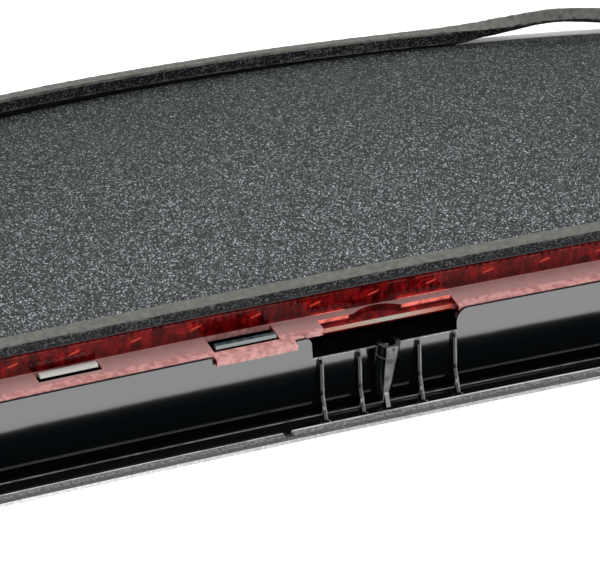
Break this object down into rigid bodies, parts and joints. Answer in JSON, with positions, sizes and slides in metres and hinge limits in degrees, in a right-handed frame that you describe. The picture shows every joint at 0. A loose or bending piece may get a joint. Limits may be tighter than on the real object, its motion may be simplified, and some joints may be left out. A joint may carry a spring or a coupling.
{
  "type": "third brake light",
  "caption": "Wide spoiler-type third brake light with red lens, screw boss pocket, grained back panel and foam gasket, lying on its outer cover.",
  "frame": {"origin": "middle of the underside, in line with the centre screw boss", "axes": "+X along the lamp, +Y from the front lip to the far edge, +Z out of the mounting side"},
  "size_m": [0.54, 0.1776, 0.0558],
  "materials": {
    "cover_paint": "fine texture",
    "gloss_black": "polished",
    "red_lens": "clear, polished",
    "grained_charcoal": "grained",
    "foam": "closed-cell foam",
    "tape": "satin",
    "strip_rubber": "ribbed",
    "led_package": "clear",
    "board_white": "satin",
    "reflector_chrome": "mirror",
    "chip_black": "matt",
    "header_cream": "matt",
    "wire_red": "satin",
    "sealant": "matt",
    "zinc": "zinc plated",
    "connector_black": "satin",
    "pin_brass": "tinned",
    "seal_red": "matt",
    "membrane_white": "matt",
    "spring_steel": "phosphate",
    "cap_black": "satin"
  },
  "bodies": {
    "root": {"outer_cover": "cover_paint", "inner_trim": "gloss_black", "lens": "red_lens", "housing": "grained_charcoal", "foam_gasket": "foam", "gasket_tape": "tape", "left_edge_strip": "strip_rubber", "right_edge_strip": "strip_rubber", "leds": "led_package", "led_board": "board_white", "reflector": "reflector_chrome", "resistors": "chip_black", "diodes": "chip_black", "board_header": "header_cream", "lead_wires": "wire_red", "lens_seal": "sealant", "board_screws": "zinc", "trim_screws": "zinc", "cover_screws": "zinc", "connector_socket": "connector_black", "connector_pins": "pin_brass", "connector_seal": "seal_red", "vent_cap": "connector_black", "vent_membrane": "membrane_white", "mounting_studs": "zinc", "stud_nuts": "zinc", "retainer_clips": "spring_steel", "left_end_cap": "cap_black", "right_end_cap": "cap_black"}
  },
  "joints": []
}
